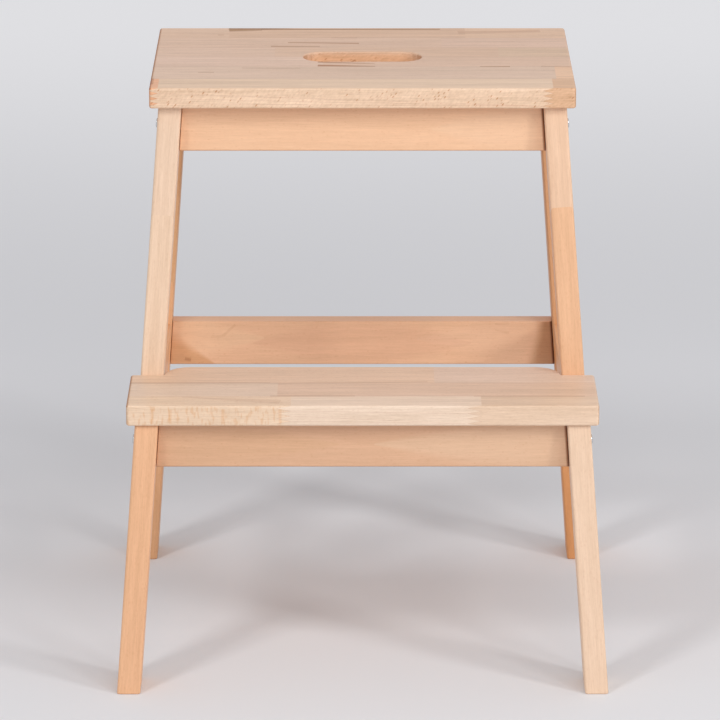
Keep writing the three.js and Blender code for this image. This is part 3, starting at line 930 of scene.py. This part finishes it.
zinc_steel = zinc("zinc-plated steel")
spots = [(at(NUT_DEPTH), (0, 0, 1)) for at in fixings.values()]
nuts = planted("barrel_nuts", barrel_nut, spots, {
    "Radius": NUT_RADIUS, "Length": NUT_LONG, "Hole Radius": BOLT_RADIUS + 2 * GAP, "Slot Width": 0.0014,
    "Slot Depth": 0.0015,
}, zinc_steel)
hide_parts(*[f"barrel_nut_{place}_{word}" for place, word in fixings])
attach(nuts, "root")


# Bolts
# Zinc-plated bolts with a low domed head and a hexagonal hole for the key. Each goes through a leg from
# outside, along a cross rail and into its barrel nut, and draws the two together.
BOLT_SIDES = 24
KEY_SIDES = 6
BOLT_TURNS = 30
BOLT_PITCH = 0.001
BOLT_IN_HEAD = 0.0005
HEAD_RINGS = 10
ROWS_PER_TURN = 3


def threaded(tree, given, sides, turns):
    """A bar that hangs down from its top, threaded along its lower part and smooth above."""
    rows = turns * ROWS_PER_TURN + 1
    blank = cylinder(tree, sides, given["Shank Radius"], rows, rows)
    height, angle, radius = polar(tree)
    row = rows / 2 - height
    cut_rows = calc("MAXIMUM", row - 1, 0)
    drop = cut_rows * (given["Pitch"] / ROWS_PER_TURN) + calc("MINIMUM", row, 1) * given["Smooth Length"]
    turn = cut_rows / ROWS_PER_TURN + angle / (2 * math.pi)
    groove = calc("PINGPONG", turn, 0.5) * given["Thread Depth"] * 2 * calc("MINIMUM", cut_rows, 1)
    to_end = given["Pitch"] * turns + given["Smooth Length"] - drop
    point = given["Point Depth"] * calc("MAXIMUM", 1 - to_end / given["Point Length"], 0)
    on_rim = calc("COMPARE", radius, given["Shank Radius"], RIM_WITHIN)
    return set_polar(blank, angle, radius - (groove * on_rim + point * on_rim), drop * -1)


def bolt(tree, given):
    """A bolt that hangs from its domed head; the head's seat is at nought."""
    shank = moved(threaded(tree, given, BOLT_SIDES, BOLT_TURNS), (0, 0, BOLT_IN_HEAD))
    disc = cylinder(tree, ROUND_SIDES, given["Head Radius"], 1, rings=HEAD_RINGS)
    height, angle, radius = polar(tree)
    share = calc("MINIMUM", radius / given["Head Radius"], 1) * (math.pi / 2)
    dome = calc("COSINE", share) * (given["Head Height"] - given["Head Rim"]) + given["Head Rim"]
    is_top = calc("GREATER_THAN", height, 0)
    head = set_polar(disc, angle, calc("SINE", share) * given["Head Radius"], dome * is_top)
    key = moved(cylinder(tree, KEY_SIDES, given["Key Radius"], given["Key Depth"] * 2),
                joined(tree, z=given["Head Height"]))
    return carved(fused(head, shank), key)


spots = [(at(-GAP), (at(0) - at(1)).normalized()) for at in fixings.values()]
bolts = planted("bolts", bolt, spots, {
    "Shank Radius": BOLT_RADIUS, "Smooth Length": BOLT_LONG - BOLT_TURNS * BOLT_PITCH, "Pitch": BOLT_PITCH,
    "Thread Depth": 0.0006, "Point Length": 0.0008, "Point Depth": 0.0008, "Head Radius": 0.0041,
    "Head Height": 0.0014, "Head Rim": 0.0004, "Key Radius": 0.004 / math.sqrt(3), "Key Depth": 0.0009,
}, zinc_steel)
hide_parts(*[f"bolt_{place}_{word}" for place, word in fixings])
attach(bolts, "root")


# Top step
# A board glued up from finger-jointed beech staves, sanded and lacquered, its rims rounded, with a
# round-ended slot cut through it for the hand. It is screwed up from the aprons.
BOARD_EASE = 0.0018
BOARD_CORNER = 0.0028
BOARD_FINGERS = 4
SLOT_LONG = 0.104
SLOT_WIDE = 0.037
SLOT_MIDDLE = 0.067
TOP_CONTRAST = 1.15
WALL_WARMTH = (1.0, 0.86, 0.70, 1)
GREY_STAIN = (0.50, 0.37, 0.20, 1)
LINE_WIDE = (0.0048, 0.0048)

low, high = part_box("top_step")
edge = rectangle(low.x, low.y, high.x, high.y, BOARD_CORNER)
slot_x, slot_y = SLOT_LONG / 2, SLOT_WIDE / 2
slot_back = SLOT_MIDDLE + slot_y
slot = rectangle(-slot_x, SLOT_MIDDLE - slot_y, slot_x, slot_back, slot_y - 1e-5)
top_board = slab("top_board", edge, low.z, high.z, BOARD_EASE, holes=[slot])
combine(top_board, screw_bores(*pairs("upper_front", "upper_rear")))
BOARD_AXES = axes_of((0, 0, 1), (0, 1, 0), (1, 0, 0), (0, 0, (low.z + high.z) / 2))
TOP_ROWS = [
    (-0.018, [Stave(-0.18, (239, 181, 141), (-0.02, 0.12), 0.8, -0.6, 0.1),
              Stave(0.159, (234, 201, 171), (-0.01, 0.14), 1.0, -0.85, 0.0),
              Stave(1, (223, 179, 142), (-0.02, 0.12), 0.9, -0.6, 0.0)]),
    (0.0287, [Stave(0.163, (226, 193, 168), (-0.09, 0.02), rays=0.1),
              Stave(1, (238, 195, 160), (-0.07, 0.05), rays=0.1)]),
    (0.066, [Stave(-0.039, (229, 194, 170), (-0.12, 0.03), rays=0.1),
             Stave(1, (224, 187, 160), (-0.1, -0.03), rays=0.1)]),
    (0.102, [Stave(-0.082, (228, 192, 166), (-0.08, 0.05), rays=0.1),
             Stave(0.116, (225, 187, 158), (-0.02, 0.12), 0.9, -0.5, 0.1),
             Stave(1, (221, 186, 156), (-0.07, 0.03), rays=0.1)]),
    (0.14, [Stave(0.066, (226, 189, 162), (-0.09, -0.02), rays=0.1),
             Stave(1, (227, 190, 165), (-0.12, 0.04), rays=0.1)]),
    (math.inf, [Stave(-0.124, (230, 192, 163), (-0.08, 0.05), 0.25, 0.3, 0.1),
                Stave(0.088, (225, 185, 154), (-0.06, -0.06), 0.25, 0.3, 0.1),
                Stave(1, (230, 191, 160), (-0.1, 0.05), 0.25, 0.3, 0.1)]),
]
timber(top_board, BOARD_AXES, TOP_ROWS, BOARD_FINGERS)
TOP_MARKS = [
    ((low.x, low.y), (low.x, high.y), LINE_WIDE, 1.0),
    ((-0.039, 0.0456), (0.011, 0.0388), (0.007, 0.002), 0.8),
    ((-0.039, 0.0322), (0.011, 0.029), (0.01, 0.003), 0.9),
    ((-0.0664, 0.1221), (-0.003, 0.1185), (0.005, 0.0075), 0.65),
    ((-0.0281, 0.1405), (-0.0047, 0.1405), LINE_WIDE, 0.25),
    ((-0.0813, 0.1066), (-0.0377, 0.1062), (0.007, 0.004), 0.6),
    ((-0.1205, 0.1745), (-0.091, 0.177), (0.024, 0.019), 0.94, GREY_STAIN),
    ((-0.091, 0.179), (-0.062, 0.18), (0.011, 0.002), 0.9, GREY_STAIN),
    ((-0.091, 0.175), (0.0703, 0.1755), (0.008, 0.006), 0.85, GREY_STAIN),
    ((low.x, -0.0277), (-0.18, -0.0277), (0.034, 0.034), 0.45, GREY_STAIN),
    ((0.0862, 0.1623), (0.1605, 0.1683), (0.017, 0.014), 0.28),
    ((0.1026, 0.0279), (0.1288, 0.0278), (0.0036, 0.0052), 0.75),
    ((0.1559, 0.0286), (0.1821, 0.0278), LINE_WIDE, 0.4),
    ((-0.1429, 0.006), (-0.129, 0.006), LINE_WIDE, 0.4),
    ((-0.105, 0.0227), (-0.0544, 0.0207), (0.008, 0.008), 0.2),
    ((-0.1297, 0.1523), (-0.1243, 0.1523), (0.0064, 0.0048), 0.35),
    ((low.x, -0.0199), (-0.18, -0.0199), (0.0051, 0.0048), 0.45),
    ((low.x, -0.0355), (-0.18, -0.0355), (0.0051, 0.0048), 0.4),
]
SLOT_MARKS = [
    ((-slot_x, 0.49), (slot_x, 0.49), (0.024, 0.024), 0.9, WALL_WARMTH),
    ((-0.012, 0.4895), (-0.006, 0.4925), (0.0022, 0.0016), 0.7),
    ((-0.04, 0.4895), (-0.029, 0.49), (0.0022, 0.002), 0.6),
]
streaks = on_face(TOP_MARKS, lambda x, y: (x, y, high.z))
streaks += on_face(SLOT_MARKS, lambda x, z: (x, slot_back, z))
top_board.data.materials.append(beech("lacquered beech, top step", streaks, TOP_CONTRAST))
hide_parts("top_step")
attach(top_board, "root")


# Lower step
# A second board of the same make. Its ears lie over the lower legs in front of the upper ones, and a
# rounded tongue runs back between the upper legs.
EAR_DEEP = 0.091
TONGUE_ROUND = 0.023
LOWER_FINGER_LONG = 0.012
LOWER_CONTRAST = 1.1
BAR_WARMTH = (0.93, 0.70, 0.46, 1)

low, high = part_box("lower_step")
right_leg = upper_lines["right"]
tongue = right_leg.foot.x + right_leg.lean.x * high.z - LEG_THICK / 2 - GAP
ear_back = low.y + EAR_DEEP - GAP
edge = rounded([
    (low.x, low.y, BOARD_CORNER), (high.x, low.y, BOARD_CORNER), (high.x, ear_back, BOARD_CORNER),
    (tongue, ear_back), (tongue, high.y, TONGUE_ROUND), (-tongue, high.y, TONGUE_ROUND),
    (-tongue, ear_back), (low.x, ear_back, BOARD_CORNER),
])
lower_board = slab("lower_board", edge, low.z, high.z, BOARD_EASE)
combine(lower_board, screw_bores(*pairs("lower_front", "ear")))
LOWER_AXES = axes_of((0, 0, 1), (0, 1, 0), (1, 0, 0), (0, 0, (low.z + high.z) / 2))
LOWER_ROWS = [
    (-0.137, [Stave(-0.067, (236, 206, 177), (-0.14, 0.01), 0.3, 0.0, 0.8),
              Stave(0.095, (238, 212, 188), (-0.02, 0.13), 0.05, 0.0, 0.0),
              Stave(1, (232, 201, 173), (-0.03, 0.12), 0.1, 0.0, 0.0)]),
    (-0.098, [Stave(-0.079, (231, 203, 179), (-0.11, 0.03), rays=0.1),
              Stave(1, (227, 193, 166), (-0.09, -0.02), rays=0.1)]),
    (math.inf, [Stave(0.056, (232, 198, 169), (-0.08, 0.02), rays=0.1),
                Stave(1, (231, 201, 178), (-0.12, 0.01), rays=0.1)]),
]
timber(lower_board, LOWER_AXES, LOWER_ROWS, BOARD_FINGERS, LOWER_FINGER_LONG)
LOWER_TOP_MARKS = [
    ((low.x, low.y), (low.x, ear_back), LINE_WIDE, 0.95),
    ((low.x, -0.0986), (-0.08, -0.0986), (0.0056, 0.0056), 0.28),
    ((-0.08, -0.1), (0.056, -0.095), (0.0056, 0.0048), 0.22),
    ((-0.0792, -0.1364), (-0.0066, -0.1364), (0.0056, 0.0048), 0.24),
    ((0.095, -0.137), (0.19, -0.137), (0.0048, 0.0056), 0.26),
    ((-0.1543, -0.1391), (-0.0704, -0.1535), (0.0032, 0.016), 0.2),
]
LOWER_FRONT_MARKS = [
    ((x, low.z + 0.002), (x, high.z - 0.003), (0.003, 0.005), 0.4, BAR_WARMTH)
    for x in (-0.1788, -0.1635, -0.1186, -0.0702)
]
streaks = on_face(LOWER_TOP_MARKS, lambda x, y: (x, y, high.z))
streaks += on_face(LOWER_FRONT_MARKS, lambda x, z: (x, low.y, z))
lower_board.data.materials.append(beech("lacquered beech, lower step", streaks, LOWER_CONTRAST))
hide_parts("lower_step")
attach(lower_board, "root")


# Screws
# Zinc-plated wood screws with countersunk heads and a cross recess. They are driven up through the rails,
# deep in wide holes, and hold the two boards down.
SCREW_SIDES = 20
SCREW_TURNS = 14


def wood_screw(tree, given):
    """A screw that stands on its head, with its point up; the head's flat is at nought."""
    shank = moved(threaded(tree, given, SCREW_SIDES, SCREW_TURNS), turn=(math.pi, 0, 0))
    cone = node(tree, "GeometryNodeMeshCone", {
        "Vertices": ROUND_SIDES, "Radius Top": given["Shank Radius"], "Radius Bottom": given["Head Radius"],
        "Depth": given["Head Height"] - given["Head Rim"],
    })
    rim = cylinder(tree, ROUND_SIDES, given["Head Radius"], given["Head Rim"])
    head = fused(moved(cone, joined(tree, z=given["Head Rim"])),
                 moved(rim, joined(tree, z=given["Head Rim"] * 0.5)), shank)
    return carved(head, *[
        bar(tree, given[x], given[y], given["Cross Depth"] * 2)
        for x, y in (("Cross Length", "Cross Width"), ("Cross Width", "Cross Length"))
    ])


screw_places = pairs("upper_front", "upper_rear", "lower_front", "ear")
spots = []
for place in screw_places:
    head, _, at = screw_axis(place)
    spots.append((at(head), (0, 0, 1)))
screws = planted("wood_screws", wood_screw, spots, {
    "Shank Radius": SCREW_RADIUS, "Smooth Length": 0.012, "Pitch": 0.002, "Thread Depth": 0.0007,
    "Point Length": 0.005, "Point Depth": 0.0012, "Head Radius": 0.004, "Head Height": SCREW_HEAD_HIGH,
    "Head Rim": 0.0005, "Cross Length": 0.0036, "Cross Width": 0.0009, "Cross Depth": 0.0015,
}, zinc_steel)
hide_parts(*[f"screw_{place}" for place in screw_places])
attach(screws, "root")


# Paper sweep, lamps and camera
# A broad sheet of white paper under the stool, brightened towards the back by a painted glow; a lamp high on
# either side of it, a low one far to the right, a wide weak one behind the camera, and a long lens that looks
# down a little.
PAPER_WIDE = 40
PAPER_WHITE = (0.80, 0.80, 0.82, 1)
PAPER_ROUGH = 0.9
PAPER_GLOW = 0.245
GLOW_FROM = 0.8
GLOW_FULL = 2.6
STUDIO_PALE = (0.75, 0.75, 0.77, 1)
STUDIO_LIGHT = 0.65
STUDIO_SEEN = 0.92


def seen(tree):
    """1 for the rays that show the background: those from the camera, in a gloss or through glass."""
    camera_ray = node(tree, "ShaderNodeLightPath", out="Is Camera Ray")
    rays = calc("MAXIMUM", camera_ray, camera_ray.output("Is Glossy Ray"))
    return calc("MAXIMUM", rays, camera_ray.output("Is Transmission Ray"))


bpy.ops.mesh.primitive_plane_add(size=PAPER_WIDE)
floor = bpy.context.object
floor.name = "paper"
paper, tree = new_material("white paper")
# Painted light: the paper glows towards the back, for the camera and in glosses only, and lights nothing
away = ramp(parts(node(tree, "ShaderNodeTexCoord", out="Object"))[1], GLOW_FROM, GLOW_FULL)
feed(tree.nodes["Principled BSDF"], {
    "Base Color": PAPER_WHITE, "Roughness": PAPER_ROUGH, "Emission Color": (1, 1, 1, 1),
    "Emission Strength": away * PAPER_GLOW * seen(tree),
})
floor.data.materials.append(paper)

world = bpy.data.worlds.new("studio")
bpy.context.scene.world = world
world.use_nodes = True
tree = world.node_tree
feed(tree.nodes["Background"], {
    "Color": STUDIO_PALE, "Strength": seen(tree) * (STUDIO_SEEN - STUDIO_LIGHT) + STUDIO_LIGHT
})

AIM = Vector((0, 0, 0.25))
LAMPS = {
    "left": ((-1.74, -2.23, 3.08), (0.6, 0.9), 30),
    "right": ((1.74, -2.23, 3.08), (0.6, 0.9), 16),
    "low_right": ((3.04, -2.13, 1.75), (0.6, 0.9), 41),
    "front": ((0.45, -3.1, 2.6), (1.6, 1.6), 20),
}
for name, (place, (wide, tall), power) in LAMPS.items():
    lamp = bpy.data.lights.new(name, "AREA")
    lamp.shape = "RECTANGLE"
    lamp.size, lamp.size_y, lamp.energy = wide, tall, power
    holder = placed(name, lamp)
    holder.location = place
    holder.rotation_euler = (AIM - holder.location).to_track_quat("-Z", "Y").to_euler()

IMAGE_WIDE = 720
LENS_PIXELS = 4550.2
SENSOR_WIDE = 36
CAMERA_PLACE = (-0.0053, -3.8482, 1.4084)
CAMERA_DOWN = 16.879
CAMERA_TURN = -0.0466
camera = placed("camera", bpy.data.cameras.new("camera"))
camera.data.sensor_width = SENSOR_WIDE
camera.data.lens = LENS_PIXELS / IMAGE_WIDE * SENSOR_WIDE
camera.location = CAMERA_PLACE
camera.rotation_euler = (math.radians(90 - CAMERA_DOWN), 0, math.radians(CAMERA_TURN))
bpy.context.scene.camera = camera
bpy.context.scene.view_settings.view_transform = "Standard"
